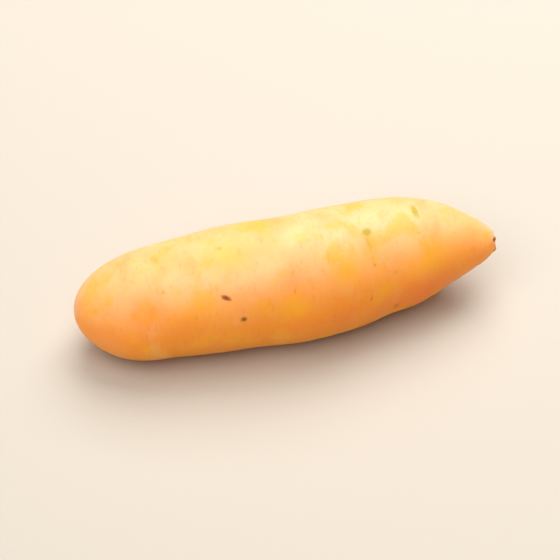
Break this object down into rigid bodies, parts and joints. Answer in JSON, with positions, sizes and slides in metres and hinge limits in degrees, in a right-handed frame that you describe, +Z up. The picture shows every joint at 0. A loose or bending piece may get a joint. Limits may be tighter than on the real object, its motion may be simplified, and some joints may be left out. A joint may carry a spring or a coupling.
{
  "type": "arracacha root",
  "caption": "Long washed arracacha root lying on its side, with smooth pale orange-yellow skin, a blunt rounded tail end and a neck that tapers to a small brown scar.",
  "frame": {"origin": "on the surface that the root lies on, under the middle of its bounding box", "axes": "+X along the root from its blunt tail end to its narrow neck end, +Z up from the surface"},
  "size_m": [0.127, 0.0394, 0.0376],
  "materials": {
    "skin": "satin"
  },
  "bodies": {
    "root": {"arracacha_root": "skin"}
  },
  "joints": []
}
